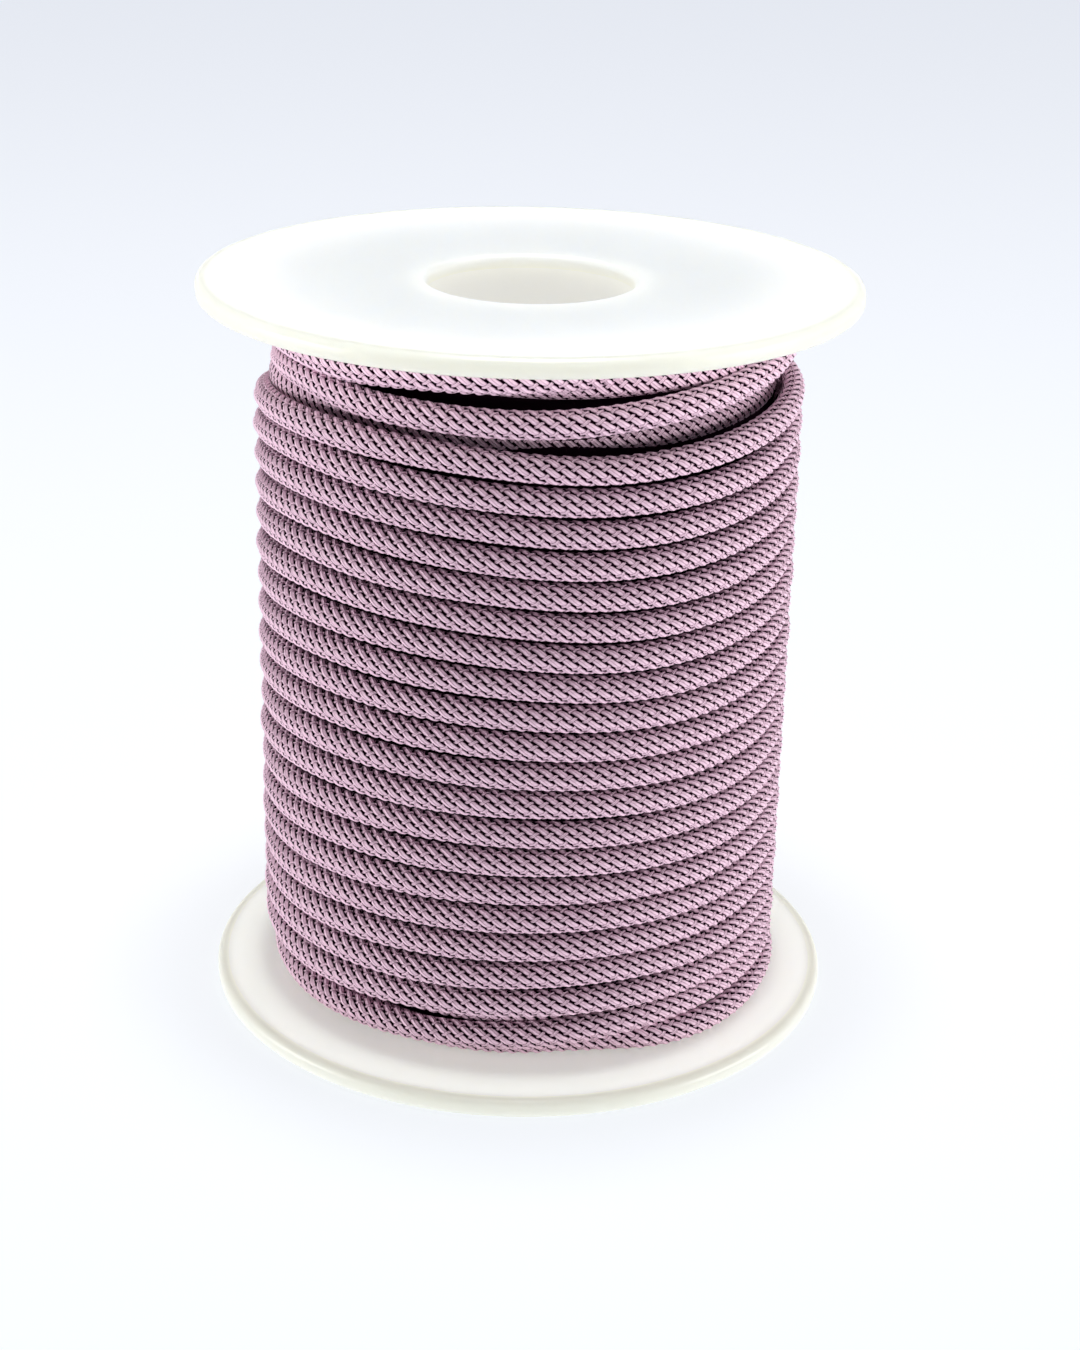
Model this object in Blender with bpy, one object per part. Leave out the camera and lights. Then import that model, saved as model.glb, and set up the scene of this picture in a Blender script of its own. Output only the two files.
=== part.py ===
"""A small moulded spool that carries a winding of 3 mm round braided cord, standing on one flange.

Metres, +Z up. The origin is the middle of the spool's foot, on the surface that it stands on, and the
front, where the winding's loose turns show, faces -Y. Angles are measured from the front, counted
towards +X. The pieces are the barrel, its two flanges and the wound cord.
"""
import math

import bmesh
import bpy
import numpy as np

# Spool
FLANGE_RADIUS = 0.0325
SPOOL_HEIGHT = 0.0756
FLANGE_THICKNESS = 0.0019
FLANGE_DISH = 0.0005       # the outer faces sink this much from the rim to the bore
RIM_ROUNDING = 0.0007
RIM_FLAT_WIDTH = 0.0040    # the level ring at the rim, on which the spool stands
BORE_RADIUS = 0.0102
BORE_ROUNDING = 0.0006
BARREL_RADIUS = 0.0120
CLEARANCE = 0.0003         # between pieces that touch on the real spool
SPOOL_SIDES = 48

# Cord and winding
CORD_RADIUS = 0.0015
TURN_PITCH = 0.00302
FIRST_TURN_HEIGHT = 0.00933    # middle of the lowest regular turn, at the front
REGULAR_FROM = -0.75           # turns, counted from the lowest regular one at the front
REGULAR_TO = 18.25
OUTER_LAYER_RADIUS = 0.0257    # to the middle of the cord, at half height
LAYER_TAPER = 0.0004           # the layer is this much wider at the foot and narrower at the head
SWAY_LEVEL = 0.03575           # the height where the turns sway least
SWAY_SPAN = 0.0260
SIDE_STEP = 0.00092            # how far a turn steps up at each side, beyond its even rise
SIDE_STEP_GROWTH = 0.00060
LEAN = 0.00021
SAG = 0.00035
INNER_LAYER_RADIUS = 0.0239    # the layer below, where a gap between turns shows it
GROOVE_SHARE = 0.35            # of the cord's radius, from its middle out to the bottom of a groove
GROOVE_OPENING = 2.0           # how much deeper a groove is for each metre that its turns part
WINDING_COLUMNS = 40
CREST_ANGLE = math.radians(50)
ROWS_PER_TURN = 4          # three on the cord and one in the groove above it

# The loose turns at the foot and the head of the winding, in millimetres to the cord's middle.
# A turn's whole number is its place in the layer and its fraction the way round from the front.
TURN, HEIGHT, RADIUS = range(3)
FOOT_TURNS = (
    # turn, height, radius
    (-1.967, 3.70, 22.0),
    (-1.930, 3.70, 24.0),
    (-1.870, 3.70, 25.3),
    (-1.800, 3.70, 25.8),
    (-1.600, 3.70, 25.9),
    (-1.400, 3.70, 25.6),
    (-1.250, 3.75, 25.2),
    (-1.167, 3.95, 25.0),
    (-1.083, 4.60, 25.1),
    (-1.000, 5.35, 25.4),
    (-0.917, 5.75, 25.6),
    (-0.833, 6.35, 25.9),
)
HEAD_TURNS = (
    # turn, height, radius
    (18.500, 65.3, 25.3),
    (18.620, 66.6, 25.0),
    (18.750, 68.3, 24.3),
    (18.833, 69.0, 24.6),
    (18.917, 68.6, 25.1),
    (19.000, 68.0, 25.4),
    (19.083, 68.5, 25.4),
    (19.167, 69.6, 25.3),
    (19.250, 70.7, 25.1),
    (19.350, 71.4, 25.0),
    (19.500, 71.8, 24.9),
    (19.750, 71.9, 24.9),
    (19.950, 71.9, 24.9),
    (20.000, 71.9, 23.6),
    (20.033, 71.9, 21.8),
)


def remove_all_objects():
    for thing in list(bpy.data.objects):
        bpy.data.objects.remove(thing, do_unlink=True)


def plain_material(name, colour, roughness):
    material = bpy.data.materials.new(name)
    material.use_nodes = True
    shader = material.node_tree.nodes["Principled BSDF"]
    shader.inputs["Base Color"].default_value = (*colour, 1.0)
    shader.inputs["Roughness"].default_value = roughness
    shader.inputs["Metallic"].default_value = 0.0
    return material


def add_object(name, form, material, sharp_angle):
    """Makes one closed object from a bmesh, its faces pointing out, and frees the bmesh."""
    bmesh.ops.recalc_face_normals(form, faces=form.faces)
    mesh = bpy.data.meshes.new(name)
    form.to_mesh(mesh)
    form.free()
    mesh.materials.append(material)
    mesh.shade_smooth()
    mesh.set_sharp_from_angle(angle=sharp_angle)
    thing = bpy.data.objects.new(name, mesh)
    bpy.context.collection.objects.link(thing)
    return thing


def arc(centre_r, centre_z, radius, start, end, steps):
    """Points of an arc in the (radius, height) plane, with its angles in degrees."""
    angles = np.radians(np.linspace(start, end, steps + 1))
    return [(centre_r + radius * math.cos(a), centre_z + radius * math.sin(a)) for a in angles]


def turned(name, profile, material):
    """Spins a closed (radius, height) outline once about the Z axis."""
    form = bmesh.new()
    corners = [form.verts.new((r, 0.0, z)) for r, z in profile]
    edges = [form.edges.new((corners[i - 1], corners[i])) for i in range(len(corners))]
    bmesh.ops.spin(form, geom=corners + edges, cent=(0, 0, 0), axis=(0, 0, 1),
                   angle=2 * math.pi, steps=SPOOL_SIDES, use_merge=True)
    bmesh.ops.remove_doubles(form, verts=form.verts, dist=1e-6)
    return add_object(name, form, material, math.radians(35))


def flange_profile():
    """The lower flange: its foot is a level ring, and from there its underside sinks to the bore."""
    flat_inner_radius = FLANGE_RADIUS - RIM_ROUNDING - RIM_FLAT_WIDTH
    rim_centre = FLANGE_RADIUS - RIM_ROUNDING
    outline = [(flat_inner_radius, 0.0)]
    outline += arc(rim_centre, RIM_ROUNDING, RIM_ROUNDING, -90, 0, 3)
    outline += arc(rim_centre, FLANGE_THICKNESS - RIM_ROUNDING, RIM_ROUNDING, 0, 90, 3)
    outline += [(BORE_RADIUS, FLANGE_THICKNESS)]
    outline += arc(BORE_RADIUS + BORE_ROUNDING, FLANGE_DISH + BORE_ROUNDING, BORE_ROUNDING, 180, 270, 2)
    return outline


def build_spool():
    plastic = plain_material("milky_plastic", (0.90, 0.90, 0.87), 0.35)
    foot = flange_profile()
    head = [(r, SPOOL_HEIGHT - z) for r, z in foot]
    turned("flange_bottom", foot, plastic)
    turned("flange_top", head, plastic.copy())
    low = FLANGE_THICKNESS + CLEARANCE
    high = SPOOL_HEIGHT - low
    wall = [(BORE_RADIUS, low), (BARREL_RADIUS, low), (BARREL_RADIUS, high), (BORE_RADIUS, high)]
    turned("barrel", wall, plastic.copy())


def regular_turn(turn):
    """Height and radius of the cord's middle in the even part of the outer layer."""
    angle = 2 * math.pi * turn
    even = FIRST_TURN_HEIGHT + TURN_PITCH * turn
    level = (even - SWAY_LEVEL) / SWAY_SPAN
    step = -(SIDE_STEP + SIDE_STEP_GROWTH * level) * math.sin(2 * angle)
    sag = SAG * level * (1 - math.cos(2 * angle))
    height = even + LEAN * math.sin(angle) + step + sag
    return height, OUTER_LAYER_RADIUS - LAYER_TAPER * level


def outer_layer_route():
    """Rows of turn, height and radius along the whole outer layer, from its foot to its end."""
    millimetres = np.array([1.0, 0.001, 0.001])
    foot = np.array(FOOT_TURNS) * millimetres
    head = np.array(HEAD_TURNS) * millimetres
    even_turns = np.linspace(REGULAR_FROM, REGULAR_TO, 24 * int(REGULAR_TO - REGULAR_FROM) + 1)
    even = np.array([(turn, *regular_turn(turn)) for turn in even_turns])
    return np.concatenate([foot, even, head])


def along(route, turn, column):
    """Smooth reading of one column of the route, by cubic pieces between its rows."""
    turns = route[:, TURN]
    values = route[:, column]
    slopes = np.gradient(values, turns)
    i = int(np.clip(np.searchsorted(turns, turn) - 1, 0, len(turns) - 2))
    span = turns[i + 1] - turns[i]
    t = (turn - turns[i]) / span
    return ((2 * t**3 - 3 * t**2 + 1) * values[i] + (t**3 - 2 * t**2 + t) * span * slopes[i]
            + (3 * t**2 - 2 * t**3) * values[i + 1] + (t**3 - t**2) * span * slopes[i + 1])


def column_outline(route, start, share, turn_count):
    """Points (radius, height) up the outside of the winding at one angle, four for each turn."""
    turns = [start + share + k for k in range(turn_count)]
    heights = [along(route, turn, HEIGHT) for turn in turns]
    radii = [along(route, turn, RADIUS) for turn in turns]
    rise = CORD_RADIUS * math.sin(CREST_ANGLE)
    shoulder = CORD_RADIUS * math.cos(CREST_ANGLE)
    points = []
    for k in range(turn_count):
        below = heights[k] - heights[k - 1] if k > 0 else 2 * CORD_RADIUS
        above = heights[k + 1] - heights[k] if k + 1 < turn_count else 2 * CORD_RADIUS
        points.append((radii[k] + shoulder, heights[k] - min(rise, 0.4 * below)))
        points.append((radii[k] + CORD_RADIUS, heights[k]))
        points.append((radii[k] + shoulder, heights[k] + min(rise, 0.4 * above)))
        if k + 1 < turn_count:
            parting = max(0.0, above - 2 * CORD_RADIUS)
            groove = min(radii[k], radii[k + 1]) + GROOVE_SHARE * CORD_RADIUS - GROOVE_OPENING * parting
            points.append((groove, 0.5 * (heights[k] + heights[k + 1])))
    return [(max(r, INNER_LAYER_RADIUS), z) for r, z in points]


def build_winding():
    """One closed ring of cord: a ridge for each turn, which climbs by one pitch on its way round."""
    route = outer_layer_route()
    start = route[0, TURN]
    turn_count = round(route[-1, TURN] - start)
    low = FLANGE_THICKNESS + CLEARANCE
    high = SPOOL_HEIGHT - low
    inner = BARREL_RADIUS + CLEARANCE
    form = bmesh.new()
    columns = []
    for i in range(WINDING_COLUMNS):
        share = i / WINDING_COLUMNS
        angle = 2 * math.pi * (start + share)
        outline = [(inner, low), (INNER_LAYER_RADIUS, low)]
        outline += column_outline(route, start, share, turn_count)
        outline += [(INNER_LAYER_RADIUS, high), (inner, high)]
        columns.append([form.verts.new((r * math.sin(angle), -r * math.cos(angle), z)) for r, z in outline])
    for left, right in zip(columns, columns[1:]):
        for k in range(-1, len(left) - 1):
            form.faces.new((left[k], right[k], right[k + 1], left[k + 1]))
    close_round(form, columns[-1], columns[0], ROWS_PER_TURN)
    bmesh.ops.triangulate(form, faces=form.faces)
    cord = plain_material("braided_cord", (0.38, 0.25, 0.34), 0.75)
    return add_object("winding", form, cord, math.radians(60))


def close_round(form, left, right, shift):
    """Joins the last column to the first, where each turn meets the next one, a pitch higher."""
    first = 2
    last = len(left) - 3
    for k in range(first, last - shift):
        form.faces.new((left[k], right[k + shift], right[k + shift + 1], left[k + 1]))
    form.faces.new((left[0], right[0], right[1], left[1]))
    form.faces.new((left[1], right[1], left[first]))
    for k in range(1, first + shift):
        form.faces.new((left[first], right[k], right[k + 1]))
    for k in range(last - shift, last + 1):
        form.faces.new((right[last], left[k + 1], left[k]))
    form.faces.new((right[last], right[last + 1], left[last + 1]))
    form.faces.new((left[-2], right[-2], right[-1], left[-1]))
    form.faces.new((left[-1], right[-1], right[0], left[0]))


remove_all_objects()
build_spool()
build_winding()
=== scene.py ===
"""The looks of a small spool of braided cord: its strands, its turns and its milky plastic.

Metres, +Z up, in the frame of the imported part. The front faces -Y, and angles round the spool are
measured from there towards +X.
"""
import math

import bpy
import numpy as np
from mathutils import Matrix, Vector


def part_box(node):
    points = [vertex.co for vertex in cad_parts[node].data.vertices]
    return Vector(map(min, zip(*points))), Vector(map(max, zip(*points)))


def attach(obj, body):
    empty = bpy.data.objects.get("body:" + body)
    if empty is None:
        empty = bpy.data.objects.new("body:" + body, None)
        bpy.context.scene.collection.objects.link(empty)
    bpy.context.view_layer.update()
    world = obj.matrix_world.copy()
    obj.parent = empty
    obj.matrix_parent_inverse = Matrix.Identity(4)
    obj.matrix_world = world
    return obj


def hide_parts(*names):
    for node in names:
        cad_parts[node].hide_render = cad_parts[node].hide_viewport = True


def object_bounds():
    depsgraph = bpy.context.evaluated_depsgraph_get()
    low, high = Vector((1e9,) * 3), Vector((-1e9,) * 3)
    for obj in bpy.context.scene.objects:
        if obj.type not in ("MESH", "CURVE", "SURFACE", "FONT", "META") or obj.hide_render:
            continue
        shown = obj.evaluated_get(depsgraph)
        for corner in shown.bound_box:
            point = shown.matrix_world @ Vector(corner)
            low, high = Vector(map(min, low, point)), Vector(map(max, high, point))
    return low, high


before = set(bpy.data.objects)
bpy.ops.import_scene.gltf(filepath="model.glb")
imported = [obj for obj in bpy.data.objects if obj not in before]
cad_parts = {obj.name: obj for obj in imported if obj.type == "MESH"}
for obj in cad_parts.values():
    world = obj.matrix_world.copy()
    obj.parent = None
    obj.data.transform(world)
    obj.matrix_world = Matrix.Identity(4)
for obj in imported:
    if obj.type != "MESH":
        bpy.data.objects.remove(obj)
cad_box = [[float(v) for v in corner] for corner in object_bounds()]

MM = 0.001

# Camera
IMAGE_HEIGHT_PX = 1350
FOCAL_LENGTH_PX = 2419.7
SENSOR_MM = 36.0
CLIP_START = 10 * MM
CAMERA_PLACE = (0.0, -0.23273, 0.12928)
CAMERA_PITCH = 0.39134
CAMERA_YAW = 0.00733
CAMERA_ROLL = 0.02112

# Spool, as far as the frame doesn't give it
FLANGE_DISH = 0.5 * MM
RIM_ROUNDING = 0.7 * MM
RIM_FLAT_WIDTH = 4.0 * MM
BORE_RADIUS = 10.2 * MM
BORE_ROUNDING = 0.6 * MM
LATHE_STEPS = 192
DISH_STEPS = 14
ROUNDING_STEPS = 8
SHARP_EDGE = math.radians(40)

# Milky plastic with a painted glow, an emission that stands in for light passing through it. The painted glow
# rises or falls evenly from the foot to the head.
FLANGE_PLASTIC = {
    "tint": (0.96, 0.96, 0.88),
    "painted_glow_tint": (0.90, 0.96, 0.88),
    "foot_painted_glow": 0.38,
    "head_painted_glow": 0.15,
}
BARREL_PLASTIC = {
    "tint": (0.97, 0.96, 0.91),
    "painted_glow_tint": (0.96, 0.94, 0.90),
    "foot_painted_glow": 0.0,
    "head_painted_glow": 0.76,
}
# The painted glow falls beside the winding as a painted shadow and is weaker at the rim, each by a factor
# that ends or starts between two radii. The rim's colour is a share of the rest's, darkened as painted shade.
PAINTED_CONTACT_SHADOW = 0.4
PAINTED_CONTACT_SHADOW_RADII = (26.5 * MM, 29.0 * MM)
RIM_PAINTED_GLOW = 0.3
RIM_PAINTED_GLOW_RADII = (30.3 * MM, 32.3 * MM)
RIM_PAINTED_SHADE = (0.70, 0.70, 0.67)
RIM_PAINTED_SHADE_RADII = (30.8 * MM, 31.9 * MM)
PLASTIC_IOR = 1.49
SCATTER_WEIGHT = 0.9
SCATTER_RADIUS = (1.0, 0.95, 0.85)
SCATTER_SCALE = 6.0 * MM
CLOUD_SCALE = 45.0
CLOUD_SHADE = 0.985
CLOUD_STOPS = (0.35, 0.65)
CLOUD_RANGE = (0.3, 0.7)
PLASTIC_ROUGHNESS = (0.30, 0.42)
GRAIN_SCALE = 900.0
GRAIN_SHARE = 0.05
PLASTIC_RELIEF = 0.05 * MM

# Winding
CORD_RADIUS = 1.46 * MM
TURN_PITCH = 3.02 * MM
FIRST_TURN_HEIGHT = 9.33 * MM
REGULAR_FROM = -0.75
REGULAR_TO = 18.25
REGULAR_ROWS_PER_TURN = 24
OUTER_LAYER_RADIUS = 25.8 * MM
SWAY_LEVEL = 35.75 * MM
SWAY_SPAN = 26.0 * MM
# How the turns leave an even helix, in millimetres: waves round the spool, one row for each power of the
# level over SWAY_LEVEL in SWAY_SPANs.
SWAY = (
    # even, sine, cosine, sine of twice the angle, cosine of twice the angle
    (-0.12, 0.11, 0.02, -0.93, 0.17),
    (0.58, -0.22, 0.42, -0.76, -0.90),
    (0.05, -0.07, 0.01, 0.35, -0.22),
    (-0.36, 0.24, 0.09, 0.26, 0.36),
)
# Small uneven waves along the cord: how large they are and about how many come to a turn
UNEVEN_HEIGHT = (0.05 * MM, 5.0)
UNEVEN_RADIUS = (0.06 * MM, 4.0)
UNEVEN_TWIST = (math.radians(8), 0.8)
WAVES_ADDED = 5
WAVE_PACES = (0.6, 1.5)
WAVE_SUM = 2.2
OUTER_LAYER_SEED = 11
UNDER_LAYER_SEED = 31

# Rows of the cord's way where it isn't regular, in millimetres to its middle
TURN, HEIGHT, RADIUS = range(3)
FOOT_TURNS = (
    # turn, height, radius
    (-3.700, 8.80, 23.0),
    (-3.000, 6.72, 23.1),
    (-2.300, 4.60, 23.2),
    (-2.100, 3.70, 23.2),
    (-2.000, 3.45, 23.3),
    (-1.967, 3.45, 23.3),
    (-1.940, 3.45, 24.0),
    (-1.910, 3.42, 25.3),
    (-1.880, 3.42, 26.0),
    (-1.840, 3.42, 26.3),
    (-1.790, 3.42, 26.2),
    (-1.740, 3.45, 25.9),
    (-1.600, 3.50, 25.6),
    (-1.400, 3.50, 25.5),
    (-1.250, 3.52, 25.0),
    (-1.167, 3.62, 24.6),
    (-1.083, 4.18, 24.6),
    (-1.000, 5.02, 24.8),
    (-0.917, 6.00, 25.4),
    (-0.833, 6.42, 25.7),
)
HEAD_TURNS = (
    # turn, height, radius
    (18.500, 65.2, 25.6),
    (18.560, 64.6, 25.5),
    (18.620, 64.8, 25.0),
    (18.690, 66.2, 24.3),
    (18.750, 67.5, 23.9),
    (18.833, 68.6, 24.5),
    (18.917, 68.0, 25.1),
    (19.000, 67.65, 25.4),
    (19.083, 68.5, 25.4),
    (19.167, 69.7, 25.3),
    (19.250, 70.8, 25.1),
    (19.350, 71.2, 25.0),
    (19.500, 71.2, 24.9),
    (19.620, 70.8, 24.9),
    (19.750, 71.3, 24.9),
    (19.833, 71.2, 24.9),
    (19.880, 71.1, 25.1),
    (19.930, 71.5, 25.3),
    (19.990, 71.8, 25.3),
    (20.020, 71.9, 24.5),
    (20.060, 72.0, 23.0),
    (20.110, 72.1, 21.2),
)
# The layer below, where it shows through the gaps near the head. It is wound downwards, and it dips
# towards the axis wherever the outer layer covers it.
UNDER_LAYER_TURNS = (
    # turn, height, radius
    (-0.100, 71.50, 22.0),
    (-0.050, 71.00, 22.2),
    (0.025, 70.75, 23.1),
    (0.080, 70.80, 23.6),
    (0.250, 70.90, 23.7),
    (0.500, 69.90, 23.9),
    (0.750, 69.30, 23.7),
    (0.820, 69.10, 22.0),
    (0.900, 68.90, 20.7),
    (1.000, 68.60, 20.6),
    (1.100, 68.40, 20.8),
    (1.250, 68.00, 23.5),
    (1.500, 67.20, 23.9),
    (1.700, 66.20, 24.2),
    (1.780, 65.90, 24.2),
    (1.880, 65.60, 22.6),
    (2.000, 65.10, 21.2),
    (2.100, 65.00, 21.5),
    (2.160, 65.30, 22.1),
    (2.250, 65.50, 23.2),
    (2.400, 65.00, 23.3),
    (2.600, 64.40, 22.8),
)

# Braid: ribs lean one way round the cord and the narrower crossing strands the other way. Half widths are
# shares of the distance between neighbours, and a strand goes from under to over between its two dips,
# which are cosines of its place among the strands that it crosses.
STRANDS = 8                    # each way
RIBS_PER_TURN = 120.4
RIB_RISE = 0.20 * MM           # a rib's half thickness above the braid's middle surface
RIB_WAVE = 0.09 * MM
RIB_HALF_WIDTH = 0.35
RIB_DIP = (-1.0, 0.4)
CROSS_RISE = 0.10 * MM
CROSS_WAVE = 0.20 * MM
CROSS_HALF_WIDTH = 0.20
CROSS_LEVEL = -0.11 * MM       # how much deeper the crossing strands lie
CROSS_DIP = (-0.45, 0.10)      # they drop steeply beside the rib that they cross
MIDDLE_SURFACE = CORD_RADIUS - RIB_RISE - RIB_WAVE - 0.04 * MM
SLOT_FLOOR = -0.16 * MM
RIB_FAMILY = (RIB_HALF_WIDTH, RIB_RISE, RIB_WAVE, 0.0, 1, RIB_DIP)
CROSS_FAMILY = (CROSS_HALF_WIDTH, CROSS_RISE, CROSS_WAVE, CROSS_LEVEL, -1, CROSS_DIP)

# How the braid is divided: places across a rib, from slot to slot, and across a crossing strand's share
FINE_SAMPLES = ((0.0, 0.2, 0.5, 0.8), (0.0, 0.25, 0.5, 0.75))
COARSE_SAMPLES = ((0.0, 0.17, 0.83), (0.0, 0.33, 0.67))
CLOSEST_SAMPLES = 0.08
SAME_PLACE = 1e-6
PIECE_RIBS = 560
# A piece keeps this many ribs away from the ends of its route.
END_RIBS = 4.8
# Crossing strands that are modelled above and below the cord's outermost line; behind them it is plain
# and has points at the back's shares.
TIGHT_REACH = (4.4, 3.1)
LOOSE_REACH = (4.6, 4.4)
UNDER_REACH = (4.2, 3.2)
BACK_SHARES = (0.2, 0.5, 0.8)

# Yarn: the colour follows the depth in the braid, darkening towards the slots as painted shade; the two yarns
# in a strand, lighter on their crowns as painted highlight and darker in the crease as painted shade; and
# their fibres.
# Where ribs and crossing strands meet at one height a painted contact shadow darkens it.
CORD_COLOURS_AND_PAINTED_SHADE = (
    (0.00, (0.010, 0.001, 0.007)),
    (0.40, (0.022, 0.004, 0.017)),
    (0.62, (0.260, 0.120, 0.190)),
    (0.82, (0.690, 0.420, 0.560)),
    (1.00, (0.930, 0.650, 0.790)),
)
FULL_COLOUR_LEVEL = 0.15 * MM
DEPTH_PAINTED_SHADE = 0.80
PAIR_PAINTED_LIGHT = 0.20
FIBRE_COLOUR = 0.16
SEAM_PAINTED_SHADOW = 0.66
SEAM_SHADOW_REACH = 0.08
DEPTH_RELIEF = 0.5
PAIR_RELIEF = 0.08
FIBRE_RELIEF = 0.03
FIBRES_ACROSS = 9.0
FIBRES_ALONG = 1.6
FIBRE_DETAIL = 2.0
YARN_ROUGHNESS = 0.52
YARN_GLOSS = 0.5

# Layers under the outer one, coloured nearly black as painted shade
CORE_INSIDE = 20.0 * MM
CORE_RADIUS = 24.8 * MM
CORE_END_RADIUS = 22.3 * MM
CORE_FROM = 8.5 * MM
CORE_TO = 62.5 * MM
CORE_PAINTED_SHADE = (0.012, 0.004, 0.009)

# Floor: its glow by the distance behind the spool
FLOOR_RADIUS = 3.0
FLOOR_SIDES = 96
FLOOR_SHADE = 0.20
FLOOR_ROUGHNESS = 0.9
FLOOR_GLOW_FROM = -0.10
FLOOR_GLOW_TO = 0.90
FLOOR_GLOW = (
    (0.00, (0.74, 0.78, 0.82)),
    (0.12, (0.79, 0.81, 0.84)),
    (0.35, (0.77, 0.80, 0.86)),
    (1.00, (0.74, 0.77, 0.84)),
)

# Tent: a low bright band at the sides and back, dim in front, and a weak roof. Pairs are parts of a
# direction between which one goes over into the other.
TENT_FRONT = 0.05
TENT_WALL = 1.25
TENT_WALL_SPAN = (0.35, 0.85)
TENT_BACK_SHARE = 0.8
TENT_ABOVE_BAND = 0.06
TENT_BAND_SPAN = (0.06, 0.34)
TENT_TOP = 0.2
TENT_TOP_SPAN = (0.55, 0.90)

# Lamps
LAMP_TARGET = (0.0, 0.0, 0.035)
WARM_WHITE = (1.0, 0.985, 0.97)
COOL_WHITE = (0.96, 0.98, 1.0)
LAMPS = (
    # name, place, size, power, colour
    ("side_left", (-0.44, -0.10, 0.050), (0.30, 0.09), 1.02, WARM_WHITE),
    ("side_right", (0.44, -0.12, 0.050), (0.30, 0.09), 1.122, WARM_WHITE),
    ("low_front", (0.0, -0.62, 0.045), (0.46, 0.08), 0.36, WARM_WHITE),
    ("overhead", (0.0, 0.0, 0.55), (0.12, 0.12), 2.6, COOL_WHITE),
)


def named_material(name):
    material = bpy.data.materials.new(name)
    material.use_nodes = True
    return material, material.node_tree, material.node_tree.nodes["Principled BSDF"]


def math_node(tree, operation, *values):
    """One Math node; each value is a number or another node's output."""
    node = tree.nodes.new("ShaderNodeMath")
    node.operation = operation
    for socket, value in zip(node.inputs, values):
        if isinstance(value, (int, float)):
            socket.default_value = value
        else:
            tree.links.new(value, socket)
    return node.outputs[0]


def parts_of(tree, vector):
    """The X, Y and Z outputs of a vector."""
    node = tree.nodes.new("ShaderNodeSeparateXYZ")
    tree.links.new(vector, node.inputs["Vector"])
    return node.outputs


def noise(tree, scale, detail, vector):
    node = tree.nodes.new("ShaderNodeTexNoise")
    node.inputs["Scale"].default_value = scale
    node.inputs["Detail"].default_value = detail
    tree.links.new(vector, node.inputs["Vector"])
    return node.outputs["Fac"]


def colour_ramp(tree, value, stops):
    """Colours by value; stops is a list of (place, (r, g, b))."""
    node = tree.nodes.new("ShaderNodeValToRGB")
    ramp = node.color_ramp
    while len(ramp.elements) < len(stops):
        ramp.elements.new(0.5)
    for element, (place, colour) in zip(ramp.elements, stops):
        element.position = place
        element.color = (*colour, 1.0)
    tree.links.new(value, node.inputs["Fac"])
    return node.outputs["Color"]


def map_range(tree, value, low, high, to_low, to_high, way="LINEAR"):
    node = tree.nodes.new("ShaderNodeMapRange")
    node.interpolation_type = way
    for socket, number in zip(list(node.inputs)[1:5], (low, high, to_low, to_high)):
        socket.default_value = number
    tree.links.new(value, node.inputs["Value"])
    return node.outputs["Result"]


def bump(tree, height, distance):
    node = tree.nodes.new("ShaderNodeBump")
    node.inputs["Strength"].default_value = 1.0
    node.inputs["Distance"].default_value = distance
    tree.links.new(height, node.inputs["Height"])
    return node.outputs["Normal"]


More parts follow.
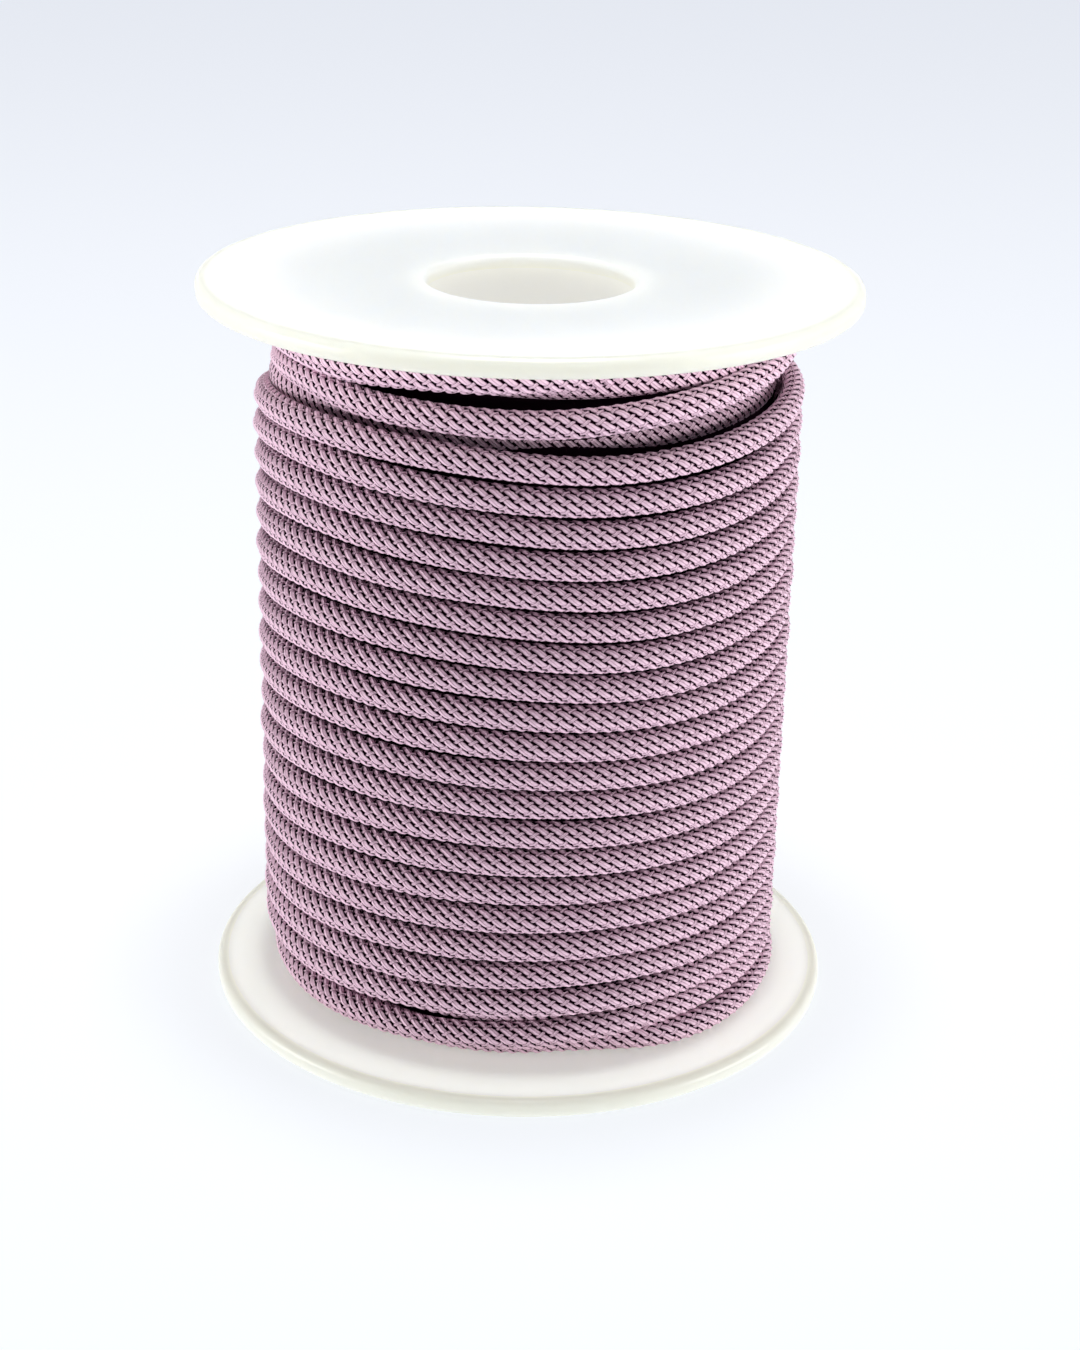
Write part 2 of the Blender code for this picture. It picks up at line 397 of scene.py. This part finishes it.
def braid_material():
    """Satin yarn in paired strands. The braid map holds the rib number and the crossing strand number."""
    material, tree, shader = named_material("braided_cord")
    uv = tree.nodes.new("ShaderNodeUVMap")
    uv.uv_map = "braid"
    ribs, crosses, _ = parts_of(tree, uv.outputs["UV"])

    def m(operation, *values):
        return math_node(tree, operation, *values)

    def strand(own, other, half_width, rise, wave, level, sign, dip):
        """Height of one family of strands, in millimetres, and how far across a strand we are."""
        number = m("FLOOR", own)
        across = m("SUBTRACT", m("SUBTRACT", own, number), 0.5)
        swing = m("COSINE", m("MULTIPLY", m("SUBTRACT", m("SUBTRACT", other, 0.5), number), math.pi))
        swing = map_range(tree, m("MULTIPLY", swing, sign), *dip, -1.0, 1.0, "SMOOTHSTEP")
        share = m("DIVIDE", across, half_width)
        inside = m("SUBTRACT", 1.0, m("MULTIPLY", share, share))
        crown = m("SQRT", m("MAXIMUM", inside, 0.0))
        beyond = m("MULTIPLY", m("LESS_THAN", inside, 0.0), -1.0)
        height = m("ADD", m("MULTIPLY", swing, wave / MM), m("MULTIPLY", crown, rise / MM))
        height = m("ADD", height, level / MM)
        return m("ADD", height, beyond), m("ABSOLUTE", share)

    def pair_of_yarns(share):
        offset = m("MULTIPLY", m("SUBTRACT", share, 0.5), 2.0)
        return m("SQRT", m("MAXIMUM", m("SUBTRACT", 1.0, m("MULTIPLY", offset, offset)), 0.0))

    rib_height, rib_share = strand(ribs, crosses, *RIB_FAMILY)
    cross_height, cross_share = strand(crosses, ribs, *CROSS_FAMILY)
    surface = m("MAXIMUM", m("MAXIMUM", rib_height, cross_height), SLOT_FLOOR / MM)
    shown = tree.nodes.new("ShaderNodeMix")
    tree.links.new(m("GREATER_THAN", cross_height, rib_height), shown.inputs["Factor"])
    tree.links.new(pair_of_yarns(rib_share), shown.inputs["A"])
    tree.links.new(pair_of_yarns(cross_share), shown.inputs["B"])
    pair = shown.outputs["Result"]
    fibres_at = tree.nodes.new("ShaderNodeCombineXYZ")
    tree.links.new(m("MULTIPLY", ribs, FIBRES_ACROSS), fibres_at.inputs["X"])
    tree.links.new(m("MULTIPLY", crosses, FIBRES_ALONG), fibres_at.inputs["Y"])
    fibres = noise(tree, 1.0, FIBRE_DETAIL, fibres_at.outputs["Vector"])

    relief = m("ADD", m("MULTIPLY", surface, DEPTH_RELIEF), m("MULTIPLY", pair, PAIR_RELIEF))
    relief = m("ADD", relief, m("MULTIPLY", fibres, FIBRE_RELIEF))
    tree.links.new(bump(tree, relief, MM), shader.inputs["Normal"])

    # Painted shade: the colour darkens with depth in the braid, to near black at the slot floor.
    depth = map_range(tree, surface, SLOT_FLOOR / MM, FULL_COLOUR_LEVEL / MM, 0.0, 1.0)
    # Painted highlight on the crowns of the two yarns in a strand and painted shade in the crease between
    # them.
    light = m("ADD", m("MULTIPLY", depth, DEPTH_PAINTED_SHADE), m("MULTIPLY", pair, PAIR_PAINTED_LIGHT))
    light = m("ADD", light, m("MULTIPLY", m("SUBTRACT", fibres, 0.5), FIBRE_COLOUR))
    # Painted contact shadow where ribs and crossing strands meet at one height.
    apart = m("ABSOLUTE", m("SUBTRACT", rib_height, cross_height))
    light = m("MULTIPLY", light, map_range(tree, apart, 0.0, SEAM_SHADOW_REACH, SEAM_PAINTED_SHADOW, 1.0, "SMOOTHSTEP"))
    tree.links.new(colour_ramp(tree, light, CORD_COLOURS_AND_PAINTED_SHADE), shader.inputs["Base Color"])
    shader.inputs["Roughness"].default_value = YARN_ROUGHNESS
    tree.links.new(m("MULTIPLY", depth, YARN_GLOSS), shader.inputs["Specular IOR Level"])
    return material


def smooth_noise(seed, turns, amount, waves_per_turn):
    """A smooth uneven line along the cord, made of a few seeded waves."""
    draw = np.random.default_rng(seed)
    total = np.zeros_like(turns)
    for _ in range(WAVES_ADDED):
        pace = waves_per_turn * draw.uniform(*WAVE_PACES)
        total += np.sin(2 * math.pi * (pace * turns + draw.uniform()))
    return amount * total / WAVE_SUM


def regular_turn(turn):
    """Height and radius of the cord's middle in the even part of the outer layer."""
    angle = 2 * math.pi * turn
    even = FIRST_TURN_HEIGHT + TURN_PITCH * turn
    level = (even - SWAY_LEVEL) / SWAY_SPAN
    waves = (1.0, np.sin(angle), np.cos(angle), np.sin(2 * angle), np.cos(2 * angle))
    sway = sum(size * wave * level**power for power, row in enumerate(SWAY) for size, wave in zip(row, waves))
    return even + MM * sway, np.full_like(turn, OUTER_LAYER_RADIUS)


def route_in_metres(rows):
    return np.array(rows) * np.array([1.0, MM, MM])


def outer_layer_route():
    rows = REGULAR_ROWS_PER_TURN * int(REGULAR_TO - REGULAR_FROM) + 1
    even_turns = np.linspace(REGULAR_FROM, REGULAR_TO, rows)
    even = np.stack([even_turns, *regular_turn(even_turns)], axis=1)
    return np.concatenate([route_in_metres(FOOT_TURNS), even, route_in_metres(HEAD_TURNS)])


def along(route, turn, column):
    """Smooth reading of one column of a route, by cubic pieces between its rows."""
    turns = route[:, TURN]
    values = route[:, column]
    slopes = np.gradient(values, turns)
    i = np.clip(np.searchsorted(turns, turn) - 1, 0, len(turns) - 2)
    span = turns[i + 1] - turns[i]
    t = np.clip((turn - turns[i]) / span, 0.0, 1.0)
    return ((2 * t**3 - 3 * t**2 + 1) * values[i] + (t**3 - 2 * t**2 + t) * span * slopes[i]
            + (3 * t**2 - 2 * t**3) * values[i + 1] + (t**3 - t**2) * span * slopes[i + 1])


def braid_surface(ribs, crosses):
    """Height of the braid over its middle surface at a rib number and a crossing strand number."""
    heights = []
    for own, other, family in ((ribs, crosses, RIB_FAMILY), (crosses, ribs, CROSS_FAMILY)):
        half_width, rise, wave, level, sign, dip = family
        number = np.floor(own)
        inside = 1 - ((own - number - 0.5) / half_width) ** 2
        share = np.clip((sign * np.cos(math.pi * (other - 0.5 - number)) - dip[0]) / (dip[1] - dip[0]), 0, 1)
        swing = wave * (2 * share * share * (3 - 2 * share) - 1) + level
        heights.append(np.where(inside > 0, swing + rise * np.sqrt(np.maximum(inside, 0)), SLOT_FLOOR))
    return np.maximum(np.maximum(heights[0], heights[1]), SLOT_FLOOR)


def rib_template(rib_samples, cross_samples, reach):
    """One rib's lines of points and the faces to the next rib's first line.

    Each line runs along the rib. Its points hold (rib number, crossing strand number, share of the hidden
    back); reach is how many crossing strands it covers above and below the cord's outermost line. The
    last value is how many points are the rib's own: the rest are the next rib's first line.
    """
    above, below = reach
    points = []
    lines = []
    for rib in (*rib_samples, 1.0):
        first, last = rib - above, rib + below
        counts = np.arange(math.floor(first) - 1, math.ceil(last) + 1)
        crosses = np.array([n + c for n in counts for c in cross_samples])
        inner = [c for c in crosses if first + CLOSEST_SAMPLES < c < last - CLOSEST_SAMPLES]
        row = [first, *inner, last]
        lines.append((len(points), row))
        points += [(rib, c, 0.0) for c in row]
        points += [(rib, last, share) for share in BACK_SHARES]
    faces = []
    for (left, left_row), (right, right_row) in zip(lines, lines[1:]):
        i = j = 0
        while i < len(left_row) - 1 or j < len(right_row) - 1:
            left_next = left_row[i + 1] if i < len(left_row) - 1 else math.inf
            right_next = right_row[j + 1] if j < len(right_row) - 1 else math.inf
            if left_next < right_next - SAME_PLACE:
                faces.append((left + i, right + j, left + i + 1))
                i += 1
            elif right_next < left_next - SAME_PLACE:
                faces.append((left + i, right + j, right + j + 1))
                j += 1
            else:
                faces.append((left + i, right + j, right + j + 1))
                faces.append((left + i, right + j + 1, left + i + 1))
                i += 1
                j += 1
        left_back = [left + len(left_row) - 1 + k for k in range(len(BACK_SHARES) + 1)] + [left]
        right_back = [right + len(right_row) - 1 + k for k in range(len(BACK_SHARES) + 1)] + [right]
        for k in range(len(left_back) - 1):
            faces.append((left_back[k], right_back[k], right_back[k + 1]))
            faces.append((left_back[k], right_back[k + 1], left_back[k + 1]))
    return np.array(points), np.array(faces), lines[-1][0]


def cord_piece(name, route, first_turn, first_rib, rib_count, samples, reach, seed, material):
    """A stretch of braided cord along a route, from one slot between ribs to another."""
    points, faces, own = rib_template(*samples, reach)
    loop_size = len(points) - own
    count = np.arange(rib_count)
    rib = (points[:own, 0][None] + count[:, None]).ravel() + first_rib
    cross = (points[:own, 1][None] + count[:, None]).ravel() + first_rib
    rib = np.concatenate([rib, points[own:, 0] + rib_count - 1 + first_rib])
    cross = np.concatenate([cross, points[own:, 1] + rib_count - 1 + first_rib])
    hidden = np.concatenate([np.tile(points[:own, 2], rib_count), points[own:, 2]])
    corners = (faces[None] + count[:, None, None] * own).reshape(-1, 3)

    turn = first_turn + (rib + cross) / 2 / RIBS_PER_TURN
    facing = (rib - cross) * math.pi / STRANDS
    above, below = (strands * math.pi / STRANDS for strands in reach)
    facing = np.where(hidden > 0, -below - hidden * (2 * math.pi - above - below), facing)
    facing = facing - smooth_noise(seed, turn, *UNEVEN_TWIST)
    size = MIDDLE_SURFACE + np.where(hidden > 0, SLOT_FLOOR, braid_surface(rib, cross))
    height = along(route, turn, HEIGHT) + smooth_noise(seed + 1, turn, *UNEVEN_HEIGHT)
    radius = along(route, turn, RADIUS) + smooth_noise(seed + 2, turn, *UNEVEN_RADIUS)
    angle = 2 * math.pi * turn
    from_axis = radius + size * np.cos(facing)
    height = height + size * np.sin(facing)
    places = np.stack([from_axis * np.sin(angle), -from_axis * np.cos(angle), height], 1)

    for first_point, turned_round in ((0, False), (rib_count * own, True)):
        loop = np.arange(loop_size) + first_point
        middle = len(places)
        places = np.concatenate([places, places[loop].mean(axis=0)[None]])
        fan = np.stack([np.full_like(loop, middle), np.roll(loop, -1), loop], 1)
        corners = np.concatenate([corners, fan[:, ::-1] if turned_round else fan])
        rib = np.append(rib, rib[first_point])
        cross = np.append(cross, cross[first_point])

    mesh = bpy.data.meshes.new(name)
    mesh.vertices.add(len(places))
    mesh.vertices.foreach_set("co", places.ravel())
    mesh.loops.add(corners.size)
    mesh.loops.foreach_set("vertex_index", corners.ravel())
    mesh.polygons.add(len(corners))
    mesh.polygons.foreach_set("loop_start", np.arange(0, corners.size, 3))
    braid = mesh.uv_layers.new(name="braid")
    braid.data.foreach_set("uv", np.stack([rib, cross], 1)[corners.ravel()].ravel())
    mesh.update(calc_edges=True)
    mesh.validate()
    mesh.shade_smooth()
    for cap in mesh.polygons[len(mesh.polygons) - 2 * loop_size:]:
        cap.use_smooth = False
    mesh.materials.append(material)
    piece = bpy.data.objects.new(name, mesh)
    bpy.context.collection.objects.link(piece)
    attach(piece, "root")
    return piece


def build_core():
    """The layers under the outer one, coloured nearly black as painted shade, which show only as a dark
    ground between its turns.
    """
    material, _, shader = named_material("shaded_cord")
    # Painted shade: the hidden layers are coloured nearly black.
    shader.inputs["Base Color"].default_value = (*CORE_PAINTED_SHADE, 1.0)
    shader.inputs["Roughness"].default_value = 1.0
    shader.inputs["Specular IOR Level"].default_value = 0.0
    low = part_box("winding")[0][2]
    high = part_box("winding")[1][2]
    outline = [(CORE_INSIDE, low), (CORE_END_RADIUS, low), (CORE_END_RADIUS, CORE_FROM - MM),
               (CORE_RADIUS, CORE_FROM), (CORE_RADIUS, CORE_TO), (CORE_END_RADIUS, CORE_TO + MM),
               (CORE_END_RADIUS, high), (CORE_INSIDE, high)]
    turned("under_turns", outline, material, "winding")


def ribs_in(turns):
    return int(turns * RIBS_PER_TURN)


def build_cord(material):
    """The outer layer in a few lengths, and the bit of the layer below that shows near the head."""
    route = outer_layer_route()
    margin = END_RIBS / RIBS_PER_TURN
    start = route[0, TURN] + margin
    foot_ribs = ribs_in(REGULAR_FROM - start)
    even_ribs = ribs_in(REGULAR_TO - REGULAR_FROM)
    head_ribs = ribs_in(route[-1, TURN] - margin - REGULAR_TO)
    lengths = math.ceil(even_ribs / PIECE_RIBS)
    marks = [foot_ribs + round(k * even_ribs / lengths) for k in range(lengths + 1)]
    stretches = [(0, foot_ribs, LOOSE_REACH)]
    stretches += [(low, high - low, TIGHT_REACH) for low, high in zip(marks, marks[1:])]
    stretches += [(marks[-1], head_ribs, LOOSE_REACH)]
    pieces = []
    for k, (first, count, reach) in enumerate(stretches):
        name = f"cord_length_{k + 1}"
        pieces.append(cord_piece(name, route, start, first, count, FINE_SAMPLES, reach, OUTER_LAYER_SEED,
                                 material))
    build_core()
    under = route_in_metres(UNDER_LAYER_TURNS)
    start = under[0, TURN] + margin
    count = ribs_in(under[-1, TURN] - under[0, TURN] - 2 * margin)
    pieces.append(cord_piece("under_layer", under, start, 0, count, COARSE_SAMPLES, UNDER_REACH,
                             UNDER_LAYER_SEED, material))
    for piece in pieces:
        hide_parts("winding")


def plastic_material(name, tint, painted_glow_tint, foot_painted_glow, head_painted_glow):
    """Milky polypropylene: light from the floor and the other parts wanders in it, and a painted glow, an
    emission, stands in for that light.
    """
    material, tree, shader = named_material(name)
    where = tree.nodes.new("ShaderNodeNewGeometry").outputs["Position"]
    cloudy = noise(tree, CLOUD_SCALE, 2.0, where)
    grain = noise(tree, GRAIN_SCALE, 3.0, where)
    x, y, z = parts_of(tree, where)
    squares = [math_node(tree, "POWER", part, 2.0) for part in (x, y)]
    from_axis = math_node(tree, "SQRT", math_node(tree, "ADD", *squares))

    shades = tuple(CLOUD_SHADE * c for c in tint), tint
    mixed = tree.nodes.new("ShaderNodeMix")
    mixed.data_type = "RGBA"
    # Painted shade: the rim's colour darkens between these radii.
    at_rim = map_range(tree, from_axis, *RIM_PAINTED_SHADE_RADII, 0.0, 1.0, "SMOOTHSTEP")
    tree.links.new(at_rim, mixed.inputs["Factor"])
    tree.links.new(colour_ramp(tree, cloudy, tuple(zip(CLOUD_STOPS, shades))), mixed.inputs[6])
    mixed.inputs[7].default_value = (*(c * share for c, share in zip(tint, RIM_PAINTED_SHADE)), 1.0)
    tree.links.new(mixed.outputs[2], shader.inputs["Base Color"])
    tree.links.new(map_range(tree, cloudy, *CLOUD_RANGE, *PLASTIC_ROUGHNESS), shader.inputs["Roughness"])
    relief = math_node(tree, "ADD", cloudy, math_node(tree, "MULTIPLY", grain, GRAIN_SHARE))
    tree.links.new(bump(tree, relief, PLASTIC_RELIEF), shader.inputs["Normal"])
    shader.inputs["IOR"].default_value = PLASTIC_IOR
    shader.inputs["Subsurface Weight"].default_value = SCATTER_WEIGHT
    shader.inputs["Subsurface Radius"].default_value = SCATTER_RADIUS
    shader.inputs["Subsurface Scale"].default_value = SCATTER_SCALE

    # Painted glow: an emission that brightens the plastic, weaker beside the winding as a painted shadow and
    # weaker at the rim.
    shader.inputs["Emission Color"].default_value = (*painted_glow_tint, 1.0)
    glow = map_range(tree, z, 0.0, cad_box[1][2], foot_painted_glow, head_painted_glow)
    # Painted shadow of the winding in the glow beside it, and less painted glow at the rim.
    contact = map_range(tree, from_axis, *PAINTED_CONTACT_SHADOW_RADII, PAINTED_CONTACT_SHADOW, 1.0, "SMOOTHSTEP")
    rim = map_range(tree, from_axis, *RIM_PAINTED_GLOW_RADII, 1.0, RIM_PAINTED_GLOW, "SMOOTHSTEP")
    glow = math_node(tree, "MULTIPLY", math_node(tree, "MULTIPLY", glow, contact), rim)
    tree.links.new(glow, shader.inputs["Emission Strength"])
    return material


def arc(centre_r, centre_z, radius, start, end, steps):
    angles = np.radians(np.linspace(start, end, steps + 1))
    return [(centre_r + radius * math.cos(a), centre_z + radius * math.sin(a)) for a in angles]


def turned(name, profile, material, node):
    """A closed (radius, height) outline turned once about the Z axis, counter-clockwise seen from -Y."""
    count = len(profile)
    angles = np.arange(LATHE_STEPS) * 2 * math.pi / LATHE_STEPS
    r, z = np.array(profile).T
    heights = np.tile(z, (LATHE_STEPS, 1))
    places = np.stack([np.outer(np.cos(angles), r), np.outer(np.sin(angles), r), heights], -1)
    faces = []
    for i in range(LATHE_STEPS):
        near, far = i * count, (i + 1) % LATHE_STEPS * count
        for k in range(count):
            following = (k + 1) % count
            faces.append((near + k, far + k, far + following, near + following))
    mesh = bpy.data.meshes.new(name)
    mesh.from_pydata(places.reshape(-1, 3).tolist(), [], faces)
    mesh.shade_smooth()
    mesh.set_sharp_from_angle(angle=SHARP_EDGE)
    mesh.materials.append(material)
    piece = bpy.data.objects.new(name, mesh)
    bpy.context.collection.objects.link(piece)
    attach(piece, "root")
    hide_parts(node)


def flange_profile(radius, thickness):
    """The lower flange's section, from the bore's edge along its underside and back on top."""
    rim = radius - RIM_ROUNDING
    flat_inner = rim - RIM_FLAT_WIDTH
    bore_edge = BORE_RADIUS + BORE_ROUNDING
    outline = arc(bore_edge, FLANGE_DISH + BORE_ROUNDING, BORE_ROUNDING, 180, 270, ROUNDING_STEPS)
    for t in np.linspace(0, 1, DISH_STEPS + 1)[1:-1]:
        outline.append((bore_edge + t * (flat_inner - bore_edge), FLANGE_DISH * (1 - t * t * (3 - 2 * t))))
    outline += [(flat_inner, 0.0)]
    outline += arc(rim, RIM_ROUNDING, RIM_ROUNDING, -90, 0, ROUNDING_STEPS)
    outline += arc(rim, thickness - RIM_ROUNDING, RIM_ROUNDING, 0, 90, ROUNDING_STEPS)
    outline += [(BORE_RADIUS, thickness)]
    return outline


def build_spool():
    low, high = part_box("flange_bottom")
    radius, thickness = high[0], high[2]
    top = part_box("flange_top")[1][2]
    flange = plastic_material("milky_flange", **FLANGE_PLASTIC)
    barrel = plastic_material("milky_barrel", **BARREL_PLASTIC)
    foot = flange_profile(radius, thickness)
    head = [(r, top - z) for r, z in foot][::-1]
    turned("lower_flange", foot, flange, "flange_bottom")
    turned("upper_flange", head, flange, "flange_top")
    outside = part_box("barrel")[1][0]
    wall = [(BORE_RADIUS, thickness), (outside, thickness),
            (outside, top - thickness), (BORE_RADIUS, top - thickness)]
    turned("spool_barrel", wall, barrel, "barrel")


def build_camera():
    forward = Vector((math.sin(CAMERA_YAW) * math.cos(CAMERA_PITCH),
                      math.cos(CAMERA_YAW) * math.cos(CAMERA_PITCH), -math.sin(CAMERA_PITCH)))
    level_right = Vector((math.cos(CAMERA_YAW), -math.sin(CAMERA_YAW), 0.0))
    level_up = level_right.cross(forward)
    right = level_right * math.cos(CAMERA_ROLL) + level_up * math.sin(CAMERA_ROLL)
    up = level_up * math.cos(CAMERA_ROLL) - level_right * math.sin(CAMERA_ROLL)
    data = bpy.data.cameras.new("camera")
    data.sensor_width = SENSOR_MM
    data.lens = FOCAL_LENGTH_PX / IMAGE_HEIGHT_PX * SENSOR_MM
    data.clip_start = CLIP_START
    camera = bpy.data.objects.new("camera", data)
    turned_axes = Matrix((right, up, -forward)).transposed()
    camera.matrix_world = Matrix.Translation(CAMERA_PLACE) @ turned_axes.to_4x4()
    bpy.context.collection.objects.link(camera)
    bpy.context.scene.camera = camera


def build_floor():
    material, tree, shader = named_material("pale_floor")
    where = tree.nodes.new("ShaderNodeNewGeometry").outputs["Position"]
    away = map_range(tree, parts_of(tree, where)["Y"], FLOOR_GLOW_FROM, FLOOR_GLOW_TO, 0.0, 1.0)
    shader.inputs["Base Color"].default_value = (FLOOR_SHADE, FLOOR_SHADE, FLOOR_SHADE, 1.0)
    shader.inputs["Roughness"].default_value = FLOOR_ROUGHNESS
    shader.inputs["Specular IOR Level"].default_value = 0.0
    tree.links.new(colour_ramp(tree, away, FLOOR_GLOW), shader.inputs["Emission Color"])
    shader.inputs["Emission Strength"].default_value = 1.0
    bpy.ops.mesh.primitive_circle_add(vertices=FLOOR_SIDES, radius=FLOOR_RADIUS, fill_type="NGON",
                                      location=(0, 0, 0))
    floor = bpy.context.object
    floor.name = "floor"
    floor.data.materials.append(material)


def build_tent():
    """A white tent for the world, open and so darker towards the camera."""
    world = bpy.data.worlds.new("tent")
    world.use_nodes = True
    tree = world.node_tree
    x, y, z = parts_of(tree, tree.nodes.new("ShaderNodeTexCoord").outputs["Generated"])
    side = math_node(tree, "ABSOLUTE", x)
    back = math_node(tree, "MULTIPLY", math_node(tree, "MAXIMUM", y, 0.0), TENT_BACK_SHARE)
    wall = math_node(tree, "MAXIMUM", side, back)
    top = math_node(tree, "MAXIMUM", z, 0.0)
    low = map_range(tree, top, *TENT_BAND_SPAN, 1.0, TENT_ABOVE_BAND)
    band = math_node(tree, "MULTIPLY", low, map_range(tree, wall, *TENT_WALL_SPAN, TENT_FRONT, TENT_WALL))
    roof = map_range(tree, top, *TENT_TOP_SPAN, 0.0, TENT_TOP)
    background = tree.nodes["Background"]
    background.inputs["Color"].default_value = (*COOL_WHITE, 1.0)
    tree.links.new(math_node(tree, "MAXIMUM", band, roof), background.inputs["Strength"])
    bpy.context.scene.world = world


def build_lamps():
    """Low thin lamps at the sides and in front keep the turns' tops and crevices dark."""
    for name, place, size, power, colour in LAMPS:
        data = bpy.data.lights.new(name, "AREA")
        data.shape = "RECTANGLE"
        data.size, data.size_y = size
        data.energy = power
        data.color = colour
        light = bpy.data.objects.new(name, data)
        light.location = place
        towards = Vector(LAMP_TARGET) - Vector(place)
        light.rotation_euler = towards.to_track_quat("-Z", "Y").to_euler()
        bpy.context.collection.objects.link(light)


build_camera()
build_cord(braid_material())
build_spool()
build_floor()
build_tent()
build_lamps()
bpy.context.scene.view_settings.view_transform = "Standard"

bpy.context.view_layer.update()
